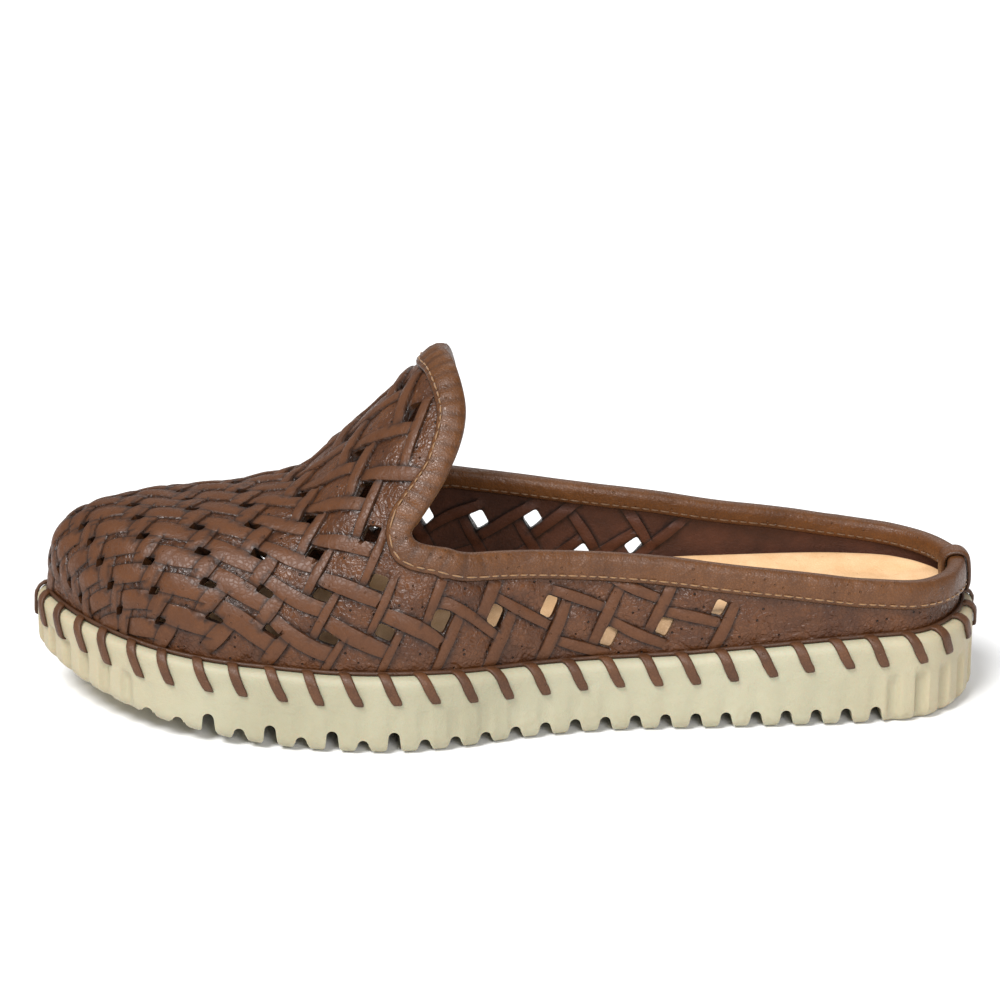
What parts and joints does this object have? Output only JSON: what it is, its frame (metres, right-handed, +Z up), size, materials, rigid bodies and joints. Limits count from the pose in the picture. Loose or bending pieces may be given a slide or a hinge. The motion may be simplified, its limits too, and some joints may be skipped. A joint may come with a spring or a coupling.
{
  "type": "flat mule",
  "caption": "Left flat mule with a woven leather upper, raised vamp peak, bound open collar and a toothed rubber cup sole whipped to it with flat lace.",
  "frame": {"origin": "on the floor, at the middle of the shoe's length and width", "axes": "+X from the toe toward the heel, +Y from the outer side of the foot toward the inner side, +Z up from the floor"},
  "size_m": [0.2674, 0.0975, 0.1006],
  "materials": {
    "cream_rubber": "satin",
    "tan_leather": "satin",
    "brown_leather": "satin, grained plates with a soft sheen",
    "binding_leather": "satin",
    "lace_leather": "satin"
  },
  "bodies": {
    "root": {"outsole": "cream_rubber", "insole": "tan_leather", "upper": "brown_leather", "topline_binding": "binding_leather", "heel_strip": "binding_leather", "whip_lacing": "lace_leather"}
  },
  "joints": []
}
